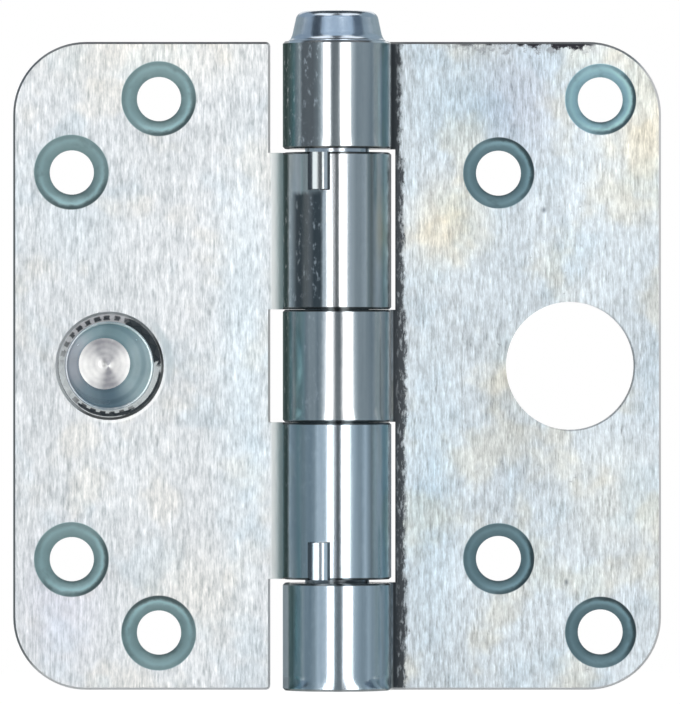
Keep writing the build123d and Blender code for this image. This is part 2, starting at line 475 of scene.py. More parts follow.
FRAME_FINISH = LeafFinish(
    side=1.0,
    seed=57.0,
    warmth=0.65,
    sink_radius=4.85,
    countersinks=(
        Countersink(36.2, 81.1, 1.9, -25.0),
        Countersink(22.2, 71.0, 1.0, 35.0),
        Countersink(22.2, 18.0, 1.0, -30.0),
        Countersink(36.2, 7.9, 1.0, 40.0),
    ),
    tints=(
        Tint(13.0, 25.0, 7.0, 32.0, COOL, 0.9),
        Tint(16.0, 80.0, 11.0, 11.0, COOL, 0.8),
        Tint(16.0, 65.0, 8.0, 9.0, WARM, 1.0),
        Tint(13.0, 62.0, 5.5, 9.0, WARM, 0.5),
        Tint(38.0, 26.0, 10.0, 12.0, WARM, 0.4),
        Tint(26.0, 43.0, 8.0, 9.0, WARM, 0.8),
        Tint(43.0, 82.0, 11.0, 24.0, WARM, 1.0),
        Tint(25.0, 80.0, 8.0, 12.0, LILAC, 0.6),
        Tint(24.0, 45.0, 9.0, 60.0, DULL, 0.8),
        Tint(30.0, 66.0, 2.2, 16.0, DULL, 0.9),
        Tint(28.4, 65.9, 0.6, 0.7, PITTED, 1.0),
        Tint(31.5, 14.8, 0.5, 0.8, PITTED, 1.0),
        Tint(22.0, 9.0, 20.0, 18.0, BRIGHT, 0.7),
        Tint(22.0, 84.0, 18.0, 12.0, DULL, 0.9),
        Tint(43.0, 48.0, 9.0, 34.0, DULL, 1.0),
    ),
    knuckles=(
        Knuckle(0.0, 14.65, 0.068, -0.006, 0.03, 0.1, (
            (-7.5, STEEL), (-6.8, STEEL), (-6.5, BOTTLE), (-6.1, BOTTLE), (-5.6, TEAL), (-5.1, TEAL),
            (-4.7, STEEL), (-4.3, SLATE), (-3.7, SLATE), (-3.1, STEEL), (-2.6, GLEAM), (-0.6, GLEAM),
            (-0.3, SLATE), (0.5, SLATE), (0.8, GLEAM), (2.1, GLEAM), (2.6, PALE), (3.4, STEEL),
            (3.8, STEEL), (4.3, PALE), (4.8, STEEL), (5.4, STEEL), (5.95, PALE), (6.4, STEEL), (6.8, TEAL),
            (7.2, SLATE), (7.5, STEEL))),
        Knuckle(36.8, 52.2, 0.05, 0.0, 0.008, 0.3, (
            (-7.5, BOTTLE), (-7.0, CREASE_SHADE), (-6.6, BOTTLE), (-6.3, DEEP_TEAL), (-5.95, STEEL), (-5.5, TEAL),
            (-4.6, TEAL), (-4.2, SLATE), (-3.8, STEEL), (-3.1, STEEL), (-2.7, SLATE), (-2.2, STEEL),
            (-1.9, GLEAM), (-0.4, GLEAM), (-0.1, SLATE), (0.4, SLATE), (0.7, GLEAM), (2.1, GLEAM),
            (2.5, PALE), (3.0, STEEL), (3.9, STEEL), (4.7, SLATE), (5.2, STEEL), (5.9, PALE), (6.4, STEEL),
            (6.8, TEAL), (7.1, STEEL), (7.5, GLEAM))),
        Knuckle(74.35, 89.0, 0.0, 0.0, 0.006, 0.6, (
            (-7.5, BOTTLE), (-7.0, CREASE_SHADE), (-6.5, BOTTLE), (-5.9, DEEP_TEAL), (-5.5, SLATE), (-5.1, STEEL),
            (-4.75, LEAD), (-3.3, LEAD), (-2.7, DUSK), (-2.3, STEEL), (-2.1, GLEAM), (-1.0, GLEAM),
            (-0.7, SLATE), (0.2, SLATE), (0.5, GLEAM), (1.8, GLEAM), (2.2, PALE), (2.7, STEEL),
            (3.9, STEEL), (4.7, SLATE), (5.3, STEEL), (5.85, PALE), (6.25, TEAL), (6.85, DEEP_TEAL),
            (7.15, SLATE), (7.5, STEEL))),
    ),
)


def plating(zinc, place, x, z, tone, grain, leaf):
    """Colour of the plated flat: the grain, a cloudy iridescence and tints in their places."""
    cloud = zinc.noise(place, 14.0, 3.0, 0.55)
    colour = zinc.blend(grain + cloud * 0.35 + 0.5, rgb(tone, 0.45), rgb(tone, 1.55))
    warm = zinc.ease(zinc.noise(zinc.shift(place, (31.0, 7.0, 3.0)), 9.0, 3.0), 0.0, 0.16)
    cool = zinc.ease(zinc.noise(zinc.shift(place, (5.0, 43.0, 17.0)), 8.0, 3.0), 0.0, 0.16)
    colour = zinc.blend(warm * leaf.warmth, colour, WARM, "MULTIPLY")
    colour = zinc.blend(cool * 0.5, colour, COOL, "MULTIPLY")
    for tint in leaf.tints:
        spot = zinc.patch(x, z, (tint.x, tint.z), (tint.half_width, tint.half_height))
        colour = zinc.blend(spot * tint.share, colour, tint.colour, "MULTIPLY")
    return colour


def rim_stud_hole(zinc, colour, x, z, front):
    """Lays painted shade as a thin dark rim at the right and bottom of the hole for the stud over a colour.
    """
    out_x = x - HOLE_X
    out_z = z - MID_Z
    rim = zinc.ease(zinc.reach(out_x, out_z), HOLE_RADIUS + 0.25, HOLE_RADIUS + 0.1)
    side = zinc.toward(zinc.math("ARCTAN2", out_z, out_x), -25.0, 110.0)
    return zinc.blend(rim * side * front * 0.7, colour, PAINTED_SHADE)


def shaded_crease(zinc, colour, x, y, z, place):
    """Lays painted shade as the dark, ragged crease between crank and barrel of the frame leaf over a colour,
    with lighter veins towards its outer side.
    """
    ragged = zinc.noise(zinc.stretch(place, (1.0, 1.0, 0.5)), 0.9, 4.0, 0.75)
    vein = zinc.noise(zinc.stretch(place, (1.0, 1.0, 0.3)), 0.55, 3.0, 0.65)
    above = zinc.ease(z, 71.0, 77.0)
    below = zinc.ease(z, 50.0, 8.0)
    amid = zinc.ease(abs(z - MID_Z), 9.0, 6.0)
    out = x + ragged * 2.8 + above * 0.4 - below * 0.4 - amid * 0.3
    crease = zinc.ease(out, 9.4, 8.7) * zinc.ease(y, -0.2, 0.5) * zinc.ease(y, 3.3, 2.7)
    crease = crease * zinc.most(zinc.ease(x, 7.55, 7.8), zinc.ease(z, 52.0, 54.0))
    # Painted shade in the crease, broken by lighter veins
    crease_shade = zinc.blend(zinc.ease(vein, 0.0, 0.18) * zinc.ease(x, 7.9, 8.6), PAINTED_SHADE, VEIN)
    return zinc.blend(crease, colour, crease_shade), crease


def shaded_crank(zinc, colour, x, y, place):
    """Shades the crank of the door leaf over a colour: darker and greener towards the barrel."""
    ragged = zinc.noise(zinc.stretch(place, (1.0, 1.0, 0.35)), 1.5, 4.0, 0.7)
    crank = zinc.ease(x, -9.3, -8.8) * zinc.ease(y, 0.2, 0.6) * zinc.ease(y, 3.3, 2.7)
    shade = zinc.blend(zinc.ease(x + ragged * 0.6, -8.8, -7.3), CRANK_LIGHT, CRANK_SHADE)
    return zinc.blend(crank, colour, shade), crank


def rolled_barrel(zinc, x, y, z, place, tone, knuckles):
    """Colour, height and streaks of the rolled knuckles, each with its own bands of painted reflection and
    shade, pits and uneven front, and painted shade along the groove's edge.
    """
    streak = zinc.noise(zinc.stretch(place, (1.0, 1.0, 0.03)), 1.2, 3.0, 0.6)
    smudge = zinc.noise(zinc.stretch(place, (1.0, 1.0, 0.5)), 0.8, 4.0, 0.75)
    bare = zinc.blend(streak + smudge * 0.4 + 0.5, rgb(tone, 0.7), rgb(tone, 1.3))
    pits = zinc.ease(smudge, 0.05, 0.2) * zinc.ease(x, -1.9, -2.4)
    colour = bare
    height = 0.0
    for knuckle in knuckles:
        inside = zinc.ease(z + smudge * 1.6, knuckle.low - 1.2, knuckle.low - 0.3)
        inside = inside * zinc.ease(z, knuckle.high + 0.5, knuckle.high + 0.2)
        bow = zinc.ease(z, knuckle.low + 2.2, knuckle.low) * knuckle.flare + knuckle.bow
        height = inside * (x * knuckle.tilt + x * x * bow) + height
        # Painted reflection and shade: bands across each knuckle's front
        banded = zinc.blend(1.0, bare, zinc.bands(x + smudge * 0.3, knuckle.bands), "MULTIPLY")
        colour = zinc.blend(inside * (1 - pits * knuckle.pitted), colour, banded)
    lower_half = zinc.ease(z, 37.5, 36.5)
    colour = zinc.blend(lower_half, colour, BLUISH, "MULTIPLY")
    out = x - GROOVE_X
    rise = abs(z - MID_Z)
    groove = zinc.ease(zinc.reach(out, y - GROOVE_Y), GROOVE_RADIUS + 0.15, GROOVE_RADIUS)
    groove = groove * zinc.ease(rise, GROOVE_LOW - 0.1, GROOVE_LOW + 0.1)
    groove = groove * zinc.ease(rise, GROOVE_HIGH + 0.1, GROOVE_HIGH - 0.1)
    height = height - groove * (out * 0.25 + out * out * 0.16)
    # Painted shade along the edge of the groove
    painted_lip = groove * zinc.ease(zinc.reach(x, y), 6.9, 7.1)
    return zinc.blend(painted_lip * 0.8, colour, PAINTED_SHADE), height, streak


def sink_screws(zinc, colour, x, z, front, place, tone, leaf):
    """Lays the passivated countersinks over a colour, with a painted highlight ridge, a painted shade rim
    towards one side and painted shade at the bottom, and says where they are.
    """
    mottle = zinc.noise(place, 4.0, 3.0, 0.6)
    ragged = zinc.noise(place, 1.6, 3.0, 0.6)
    sunk = 0.0
    for sink in leaf.countersinks:
        away = zinc.reach(x - sink.x, z - sink.z)
        angle = zinc.math("ARCTAN2", z - sink.z, x - sink.x) + mottle * 2.0
        out = (away - SCREW_RADIUS) * (1 / (leaf.sink_radius - SCREW_RADIUS)) + ragged * 0.3
        # Painted highlight: a lighter ridge, strongest towards the shaded side
        ridge = zinc.near(out, 0.6, 0.3, 0.0) * (zinc.toward(angle, sink.dark_side, 120.0) * 0.7 + 0.3)
        ring = zinc.blend(ridge, rgb(tone, sink.lightness), rgb(tone, sink.lightness * 1.6))
        ring = zinc.blend(zinc.ease(mottle, 0.06, 0.22) * 0.5, ring, rgb(tone, sink.lightness * 0.55))
        # Painted shade: a dark outer rim towards one side
        rim = zinc.ease(out, 0.62, 0.88) * (zinc.toward(angle, sink.dark_side, 100.0) * 0.8 + 0.15)
        ring = zinc.blend(rim, ring, rgb(tone, 0.25))
        # Painted shade towards the bottom of the countersink
        foot = zinc.ease(out, 0.35, 0.0) * (zinc.toward(angle, -80.0, 90.0) * 0.6 + 0.25)
        ring = zinc.blend(foot, ring, rgb(tone, 0.35))
        here = zinc.ease(away, leaf.sink_radius + 0.12, leaf.sink_radius - 0.02) * front
        colour = zinc.blend(here, colour, ring)
        sunk = here + sunk
    return colour, sunk


# Arcs of painted shade round the stud: direction, spread, radius, and how far from it an arc has faded and is
# full
SHADE_ARCS = ((-40.0, 42.0, 6.95, 0.22, 0.1), (-95.0, 46.0, 6.75, 0.28, 0.1), (205.0, 50.0, 7.2, 0.2, 0.08))


def staked_ring(finish, x, z, place):
    """Colour of the staked ring round the stud's foot: light, with painted shade at the top, beads above and
    below with painted shade between them, and painted shade in arcs.
    """
    angle = finish.math("ARCTAN2", z, x)
    away = finish.reach(x, z)
    ragged = finish.noise(place, 1.0, 3.0, 0.65)
    # Painted light and shade: the ring lighter all round, darker towards the top
    ring = finish.blend(finish.toward(angle, 105.0, 75.0), STAKE_LIGHT, STAKE_SHADED)
    # Painted shade between the beads
    gaps = finish.ease(finish.math("SINE", angle * 30.0) + ragged * 3.0, 0.5, -0.1)
    beaded = finish.most(finish.toward(angle, 110.0, 80.0), finish.toward(angle, -100.0, 55.0))
    ring = finish.blend(gaps * beaded * finish.near(away, 6.6, 0.45, 0.2), ring, PAINTED_SHADE)
    # Painted shade: a dark crescent at the upper right and arcs round the recess
    dark = finish.toward(angle, 36.0, 42.0) * finish.ease(away, 7.12, 7.0)
    for direction, spread, radius, faded, full in SHADE_ARCS:
        arc = finish.toward(angle, direction, spread) * finish.near(away, radius, faded, full)
        dark = finish.most(dark, arc)
    black = finish.ease(dark + ragged * 0.9, 0.2, 0.45)
    return finish.blend(black, ring, RECESS_SHADE), angle, ragged


def stake_stud(zinc, colour, x, z, front, place):
    """Lays the staked recess round the stud over a colour, with painted shade on its upper outline, a painted
    highlight as a light lip at the lower right and a painted shadow to its right.
    """
    from_x = x - STUD_X / MM
    from_z = z - MID_Z
    away = zinc.reach(from_x, from_z)
    ring, angle, ragged = staked_ring(zinc, from_x, from_z, place)
    # Painted shade along the recess's upper outline
    outline = zinc.near(away, 7.5, 0.2, 0.08) * zinc.toward(angle, 110.0, 100.0)
    ring = zinc.blend(outline * 0.6, ring, PAINTED_SHADE)
    # Painted highlight at the lower right, outside the recess
    painted_lip = zinc.near(away, 7.65, 0.35, 0.05) * zinc.toward(angle, -50.0, 80.0)
    colour = zinc.blend(painted_lip * front * 0.7, colour, STAKE_HIGHLIGHT)
    # Painted shadow of the stud on the leaf to its right
    smudge = zinc.near(away, 8.2, 0.9, 0.2) * zinc.toward(angle, 15.0, 40.0)
    colour = zinc.blend(smudge * front * 0.7, colour, STUD_SHADOW)
    pit = zinc.ease(away + ragged * 0.7, 7.5, 7.25) * front
    return zinc.blend(pit, colour, ring), pit


def scuff_top_edge(zinc, colour, x, z, front, place):
    """Lays dark scuffs and grey specks along the upper edge of the leaf over a colour."""
    grit = zinc.noise(place, 1.0, 4.0, 0.75)
    worn = zinc.most(zinc.near(x, 26.8, 1.2, 0.5), zinc.near(x, 31.8, 2.6, 1.8))
    reach = zinc.ease(x, 10.0, 22.0) * zinc.ease(x, 36.0, 34.5) * front
    scuff = zinc.ease(z + grit * 2.2 + worn * 0.55, TOP_Z - 0.55, TOP_Z - 0.15) * reach
    specks = zinc.ease(grit + zinc.ease(z, TOP_Z - 2.8, TOP_Z - 0.6) * 0.18, 0.12, 0.24) * reach
    colour = zinc.blend(specks * 0.7, colour, SPECK)
    return zinc.blend(scuff, colour, SCUFF)


def cut_edges(zinc, colour, z, uncut, barrel, tone):
    """Lays the sheared edges and the knuckles' ends over a colour, and says where the light ones are. Edges
    facing +X or down are painted light; the knuckles' ends get painted shade, and painted light at the top.
    """
    across, through, along = zinc.facing()
    crank, sunk = uncut
    cut = zinc.ease(abs(through), 0.88, 0.74) * (1 - barrel) * (1 - crank)
    cut = zinc.most(cut, zinc.ease(abs(along), 0.5, 0.8)) * (1 - sunk)
    # Painted light on the edges that face +X or down
    light_side = zinc.most(zinc.ease(across, 0.4, 0.6), zinc.ease(along, -0.4, -0.6) * 0.8) * (1 - barrel)
    edge = zinc.blend(light_side, rgb(tone), EDGE_LIGHT)
    # Painted shade on the knuckles' ends, painted light on their top ends
    end = zinc.blend(zinc.ease(z, TOP_Z - 0.7, TOP_Z - 0.5), END_SHADE, END_LIT)
    edge = zinc.blend(barrel, edge, end)
    return zinc.blend(cut, colour, edge), light_side * cut


def brushed_zinc(name, tone, sunk_tone, settings, leaf):
    """Zinc plate on brushed sheet, with smooth knuckles, passivated countersinks and darker cut edges."""
    material, zinc = new_material(name)
    whole = zinc.place()
    x, y, z = zinc.split(whole)
    place = zinc.shift(whole, (leaf.seed, leaf.seed, leaf.seed))
    hair = zinc.noise(zinc.stretch(place, (1.0, 1.0, 0.16)), 0.24, 2.0, 0.6)
    stroke = zinc.noise(zinc.stretch(place, (1.0, 1.0, 0.1)), 0.6, 3.0, 0.6)
    fleck = zinc.noise(zinc.stretch(place, (1.0, 1.0, 0.35)), 0.5, 3.0, 0.65)
    grain = (hair * 0.6 + stroke * 0.5 + fleck * 0.6) * settings.grain
    colour = plating(zinc, place, x, z, tone, grain, leaf)
    front = zinc.ease(y, LEAF_BACK - 0.1, LEAF_BACK - 0.3)
    if leaf.side > 0:
        colour = scuff_top_edge(zinc, colour, x, z, front, place)
        colour = rim_stud_hole(zinc, colour, x, z, front)
        colour, crank = shaded_crease(zinc, colour, x, y, z, place)
        dull = crank * 0.8
    else:
        colour, pit = stake_stud(zinc, colour, x, z, front, place)
        colour, crank = shaded_crank(zinc, colour, x, y, place)
        dull = zinc.most(crank * 0.8, pit * 0.9)
    colour, sunk = sink_screws(zinc, colour, x, z, front, place, sunk_tone, leaf)

    barrel = zinc.ease(zinc.reach(x, y), BARREL_RADIUS / MM + 0.15, BARREL_RADIUS / MM + 0.03)
    rolled, roll, streak = rolled_barrel(zinc, x, y, z, place, settings.barrel_tone, leaf.knuckles)
    colour = zinc.blend(barrel, colour, rolled)
    colour, light_edge = cut_edges(zinc, colour, z, (crank, sunk), barrel, settings.edge_tone)

    flat = (1 - barrel) * (1 - sunk)
    matt_left = zinc.ease(x, -6.5, -6.75) * 0.9
    matt_right = zinc.ease(x, 6.95, 7.25) * 0.6
    roughness = (FLAT_ROUGHNESS + hair * 0.25 + stroke * 0.2) * flat + FLAT_ROUGHNESS * sunk
    roughness = roughness + (BARREL_ROUGHNESS + streak * 0.12 + matt_left * 0.8) * barrel
    scratches = (hair * 0.6 + stroke * 0.4 + fleck * 0.4) * 0.03 * flat + streak * 0.012 * barrel
    dull = zinc.most(zinc.most(dull, sunk * 0.7), light_edge)
    dull = zinc.most(dull, zinc.most(matt_right, matt_left) * barrel)
    finish_metal(zinc, colour, roughness, scratches + roll * barrel, 1 - dull)
    return material


def turned_zinc(name, tone, centre):
    """Passivated turned zinc, with a bright faced end that shows its lathe rings and a painted highlight to
    its sides, painted reflection, shade and highlight on its cone, and painted shade round its foot.
    """
    material, zinc = new_material(name)
    place = zinc.shift(zinc.place(), [-part / MM for part in centre])
    x, y, z = zinc.split(place)
    away = zinc.reach(x, z)
    foot_x = x + (centre[0] - STUD_X) / MM
    foot_z = z + (centre[2] - MID_HEIGHT) / MM
    cloud = zinc.noise(place, 2.4, 3.0, 0.6)
    ring, angle, ragged = staked_ring(zinc, foot_x, foot_z, place)

    cone = zinc.blend(cloud + 0.5, rgb(tone, 0.75), rgb(tone, 1.25))
    # Painted reflection and shade: the cone lighter to the left, darker below and tealer above
    cone = zinc.blend(zinc.toward(angle, 180.0, 70.0) * 0.9, cone, CONE_LEFT)
    cone = zinc.blend(zinc.toward(angle, -100.0, 70.0), cone, CONE_BELOW)
    cone = zinc.blend(zinc.toward(angle, 85.0, 60.0) * 0.9, cone, CONE_ABOVE)
    # Painted shade in two bands on the cone, near its foot and near its top
    hollow = zinc.most(zinc.near(away, 5.3, 0.5, 0.1), zinc.ease(away, 4.1, 3.6))
    cone = zinc.blend(hollow * 0.5, cone, CONE_HOLLOW, "MULTIPLY")
    # Painted highlight along the cylinder's rounded rim
    rim = zinc.near(zinc.reach(foot_x, foot_z), 5.95, 0.3, 0.1) * zinc.ease(y, -3.0, -2.6)
    cone = zinc.blend(rim * (0.4 + ragged), cone, CONE_RIM)

    lathe = zinc.math("SINE", away * (2 * pi / 0.8))
    # Painted highlight: the faced end lighter towards its left and right
    sweep = zinc.most(zinc.toward(angle, 0.0, 70.0), zinc.toward(angle, 190.0, 75.0))
    light = cloud * 0.9 + lathe * 0.05 + sweep * 0.7 + 0.1
    faced = zinc.blend(light, FACED_DARK, FACED_LIGHT)
    faced = zinc.blend(zinc.ease(away, 0.7, 0.2) * 0.6, faced, CENTRE_MARK)

    end = zinc.ease(zinc.facing()[1], -0.8, -0.97) * zinc.ease(away, 4.2, 4.0)
    back = zinc.ease(y, LEAF_BACK - 0.6, LEAF_BACK - 0.4)
    foot = zinc.ease(y, 1.0, 1.4) * (1 - back)
    colour = zinc.blend(foot, zinc.blend(end, cone, faced), ring)
    colour = zinc.blend(back, colour, zinc.blend(cloud + 0.5, BACK_DARK, BACK_LIGHT))
    roughness = 0.24 * (1 - end) + 0.36 * end + cloud * 0.15 + back * 0.15
    metallic = zinc.most(0.6 + end * 0.4 - foot * 0.5, back)
    finish_metal(zinc, colour, roughness, lathe * end * 0.006 + cloud * 0.004, metallic)
    return material


def drawn_zinc(name, tone):
    """Drawn zinc of the pin: smooth, with faint streaks round its head and along its shank."""
    material, zinc = new_material(name)
    place = zinc.place()
    streak = zinc.noise(zinc.stretch(place, (1.0, 1.0, 0.05)), 1.4, 3.0, 0.6)
    ring = zinc.noise(zinc.stretch(place, (0.05, 0.05, 1.0)), 0.5, 2.0, 0.5)
    colour = zinc.blend(streak + ring * 0.6 + 0.5, rgb(tone, 0.8), rgb(tone, 1.15))
    finish_metal(zinc, colour, 0.2 + streak * 0.15, streak * 0.006 + ring * 0.006)
    return material


# Mesh tools

CLOSE = 0.01 * MM


def turned_blank(name, radius, low, high, sides):
    """A closed cylinder on the Z axis, left in edit mode with nothing selected."""
    bpy.ops.object.select_all(action="DESELECT")
    bpy.ops.mesh.primitive_cylinder_add(
        vertices=sides, radius=radius, depth=high - low, location=(0.0, 0.0, (low + high) / 2))
    blank = bpy.context.object
    blank.name = name
    blank.data.name = name
    bpy.ops.object.transform_apply(location=True, rotation=True, scale=True)
    bpy.ops.object.mode_set(mode="EDIT")
    bpy.ops.mesh.select_mode(type="FACE")
    bpy.ops.mesh.select_all(action="DESELECT")
    return blank


def pick(piece, kind, chosen):
    """Selects the faces, edges or corners of a piece that a test chooses, and nothing else."""
    bpy.ops.mesh.select_mode(type=kind)
    bpy.ops.mesh.select_all(action="DESELECT")
    mesh = bmesh.from_edit_mesh(piece.data)
    for part in {"FACE": mesh.faces, "EDGE": mesh.edges, "VERT": mesh.verts}[kind]:
        part.select_set(chosen(part))
    bmesh.update_edit_mesh(piece.data)


def pick_cap(piece, height):
    """Selects the flat face that closes a turned piece at a height."""
    def closes(face):
        centre = face.calc_center_median()
        return abs(centre.z - height) < CLOSE and centre.xy.length < CLOSE

    pick(piece, "FACE", closes)


def pick_ring(piece, height, radius):
    """Selects the edges of a turned piece that run round it at a height and a radius."""
    def on_ring(corner):
        return abs(corner.co.z - height) < CLOSE and abs(corner.co.xy.length - radius) < 2 * CLOSE

    pick(piece, "EDGE", lambda edge: all(on_ring(corner) for corner in edge.verts))


def pull_cap(piece, height, to_height, share):
    """Extrudes the flat end of a turned piece to another height and a share of its radius."""
    pick_cap(piece, height)
    bpy.ops.mesh.extrude_region_move(TRANSFORM_OT_translate={"value": (0.0, 0.0, to_height - height)})
    bpy.ops.transform.resize(value=(share, share, 1.0), center_override=(0.0, 0.0, to_height))


def inset_cap(piece, height, step, depth=0.0):
    """Insets the flat end of a turned piece by a step, raised by a depth."""
    pick_cap(piece, height)
    bpy.ops.mesh.inset(thickness=step, depth=depth)


def round_ring(piece, height, radius, size, segments):
    """Rounds the edge that runs round a turned piece at a height and a radius."""
    pick_ring(piece, height, radius)
    bpy.ops.mesh.bevel(offset=size, offset_type="OFFSET", segments=segments, affect="EDGES")


def cap_radius(piece, height):
    """Radius of the flat end of a turned piece at a height."""
    mesh = bmesh.from_edit_mesh(piece.data)
    return max(corner.co.xy.length for corner in mesh.verts if abs(corner.co.z - height) < CLOSE)


def leave_edit(smooth_angle):
    """Turns the faces outwards, ends edit mode and shades edges flatter than an angle smooth."""
    bpy.ops.mesh.select_all(action="SELECT")
    bpy.ops.mesh.normals_make_consistent(inside=False)
    bpy.ops.object.mode_set(mode="OBJECT")
    bpy.ops.object.shade_smooth_by_angle(angle=smooth_angle)


def dress(piece, material):
    """Gives a piece one material in place of what it had."""
    piece.data.materials.clear()
    piece.data.materials.append(material)


# Operators

class HINGE_OT_finish_leaves(bpy.types.Operator):
    """Gives both leaves their brushed zinc"""

    bl_idname = "hinge.finish_leaves"
    bl_label = "Finish the Leaves"

    def execute(self, context):
        leaf = context.scene.hinge_leaf
        dress(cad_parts["door_leaf"], brushed_zinc(
            "brushed_zinc_door_leaf", leaf.door_tone, leaf.door_countersink, leaf, DOOR_FINISH))
        dress(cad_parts["frame_leaf"], brushed_zinc(
            "brushed_zinc_frame_leaf", leaf.frame_tone, leaf.frame_countersink, leaf, FRAME_FINISH))
        return {"FINISHED"}


# Rise and narrowing of each step of the hollow neck above the pin's flange
NECK_STEPS = (
    (0.14 * MM, 0.16 * MM), (0.18 * MM, 0.13 * MM), (0.24 * MM, 0.12 * MM), (0.34 * MM, 0.12 * MM))


class HINGE_OT_turn_pin(bpy.types.Operator):
    """Turns the loose pin with its tapered, rounded head"""

    bl_idname = "hinge.turn_pin"
    bl_label = "Turn the Pin"

    def execute(self, context):
        pin = context.scene.hinge_pin
        top = PIN_HIGH.z
        foot = top - pin.head_height
        level, radius = foot + pin.flange, pin.head_radius
        piece = turned_blank("loose_pin", radius, foot, level, pin.sides)
        for rise, draw in NECK_STEPS:
            pull_cap(piece, level, level + rise, 1 - draw / radius)
            level, radius = level + rise, radius - draw
        pull_cap(piece, level, top, pin.head_top_radius / radius)
        round_ring(piece, top, pin.head_top_radius, pin.head_edge, segments=8)
        round_ring(piece, foot, pin.head_radius, pin.head_foot, segments=3)
        inset_cap(piece, foot, cap_radius(piece, foot) - pin.shank_radius)
        pull_cap(piece, foot, PIN_LOW.z, 1.0)
        round_ring(piece, PIN_LOW.z, cap_radius(piece, PIN_LOW.z), pin.tip_chamfer, segments=2)
        leave_edit(smooth_angle=radians(40))
        dress(piece, drawn_zinc("zinc_pin_drawn", pin.tone))
        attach(piece, "hinge_pin")
        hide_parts("hinge_pin")
        return {"FINISHED"}


# Fine forms of the stud's top
RIM_ROUNDING = 0.2 * MM
LATHE_RIPPLE = 0.03 * MM
MARK_RADIUS = 0.5 * MM
MARK_SLOPE = 0.45 * MM
MARK_DEPTH = 0.12 * MM
LEANING_END = 1.0 * MM


class HINGE_OT_turn_stud(bpy.types.Operator):
    """Turns the security stud: knurled foot, cylinder, cone and a ringed flat top"""

    bl_idname = "hinge.turn_stud"
    bl_label = "Turn the Stud"

    def execute(self, context):
        stud = context.scene.hinge_stud
        leaf = context.scene.hinge_leaf
        piece = self.turn_body(stud, leaf)
        knurl = self.cut_knurl(stud)
        bpy.ops.object.select_all(action="DESELECT")
        knurl.select_set(True)
        piece.select_set(True)
        context.view_layer.objects.active = piece
        bpy.ops.object.join()
        piece.rotation_euler = (pi / 2, 0.0, 0.0)
        piece.location = (STUD_X, leaf.front, MID_HEIGHT)
        bpy.ops.object.transform_apply(location=True, rotation=True, scale=True)
        tip = (STUD_X + stud.lean[0], 0.0, MID_HEIGHT + stud.lean[1])
        dress(piece, turned_zinc("turned_zinc_stud_finish", stud.tone, tip))
        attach(piece, "door_leaf")
        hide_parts("security_stud")
        return {"FINISHED"}

    def turn_body(self, stud, leaf):
        """The stud along Z, its tip up and the front of the leaf at 0."""
        tip = leaf.front - STUD_LOW.y
        piece = turned_blank("turned_stud", stud.radius, -stud.seat_depth, stud.cylinder, stud.sides)
        inset_cap(piece, stud.cylinder, stud.rim)
        pull_cap(piece, stud.cylinder, tip, stud.tip_radius / (stud.radius - stud.rim))
        round_ring(piece, stud.cylinder, stud.radius, RIM_ROUNDING, segments=3)
        ring_step = (stud.tip_radius - MARK_RADIUS) / stud.rings
        level = tip
        for ring in range(stud.rings):
            depth = LATHE_RIPPLE if ring % 2 else -LATHE_RIPPLE
            inset_cap(piece, level, ring_step, depth)
            level += depth
        inset_cap(piece, level, MARK_SLOPE, -MARK_DEPTH)
        inset_cap(piece, -stud.seat_depth, stud.radius - stud.shank_radius)
        pull_cap(piece, -stud.seat_depth, -leaf.sheet, 1.0)
        pick(piece, "VERT", lambda corner: corner.co.z > tip - LEANING_END)
        bpy.ops.transform.translate(value=(stud.lean[0], stud.lean[1], 0.0))
        leave_edit(smooth_angle=radians(30))
        return piece

    def cut_knurl(self, stud):
        """The toothed ring round the stud's foot."""
        knurl = turned_blank(
            "stud_knurl", stud.knurl_radius, -stud.seat_depth, stud.knurl_height - stud.seat_depth,
            2 * stud.teeth)

        def at_root(corner):
            turn = Vector((1.0, 0.0)).angle_signed(corner.co.xy) * stud.teeth / pi
            return round(turn) % 2 == 0

        pick(knurl, "VERT", at_root)
        share = stud.knurl_root / stud.knurl_radius
        bpy.ops.transform.resize(value=(share, share, 1.0), center_override=(0.0, 0.0, 0.0))
        leave_edit(smooth_angle=radians(20))
        return knurl


# Turn towards +X from the camera's side, then climb, each from and to in degrees, and the colour seen
CARDS = (
    ("card_left_far", -170.0, -86.0, -40.0, 24.0, (0.34, 0.40, 0.43)),
    ("card_left", -86.0, -28.0, -40.0, 24.0, (0.37, 0.44, 0.50)),
    ("card_middle", -15.0, 8.0, -40.0, 30.0, (0.28, 0.29, 0.31)),
    ("card_right", 27.0, 86.0, -40.0, 24.0, (0.37, 0.44, 0.50)),
    ("card_right_far", 86.0, 170.0, -40.0, 24.0, (0.34, 0.41, 0.44)),
    ("upper_left_far", -150.0, -74.0, 24.0, 54.0, (0.30, 0.38, 0.47)),
    ("upper_left", -74.0, -48.0, 24.0, 54.0, (0.03, 0.045, 0.065)),
    ("upper_middle", -48.0, 50.0, 30.0, 54.0, (0.42, 0.54, 0.68)),
    ("upper_right", 50.0, 76.0, 24.0, 54.0, (0.10, 0.14, 0.19)),
    ("upper_right_far", 76.0, 150.0, 24.0, 54.0, (0.32, 0.40, 0.46)),
    ("wing_left", -70.0, -12.0, 54.0, 80.0, (1.2, 1.25, 1.3)),
    ("wing_gap", -12.0, 10.0, 54.0, 80.0, (0.10, 0.11, 0.12)),
    ("wing_right", 10.0, 70.0, 54.0, 80.0, (1.2, 1.25, 1.3)),
    ("card_overhead", -60.0, 60.0, 80.0, 140.0, (0.05, 0.06, 0.07)),
    ("below_left", -75.0, -9.0, -78.0, -40.0, (0.85, 0.87, 0.88)),
    ("below_middle", -9.0, 9.0, -78.0, -40.0, (0.30, 0.33, 0.36)),
    ("below_right", 9.0, 75.0, -78.0, -40.0, (0.85, 0.87, 0.88)),
)
LAMPS = (("lamp_left", -28.0, -15.0, -40.0, 30.0), ("lamp_right", 8.0, 27.0, -40.0, 30.0))
WHITE = (1.0, 1.0, 1.0, 1.0)
FLOOR_PAINT = (0.9, 0.9, 0.9, 1.0)


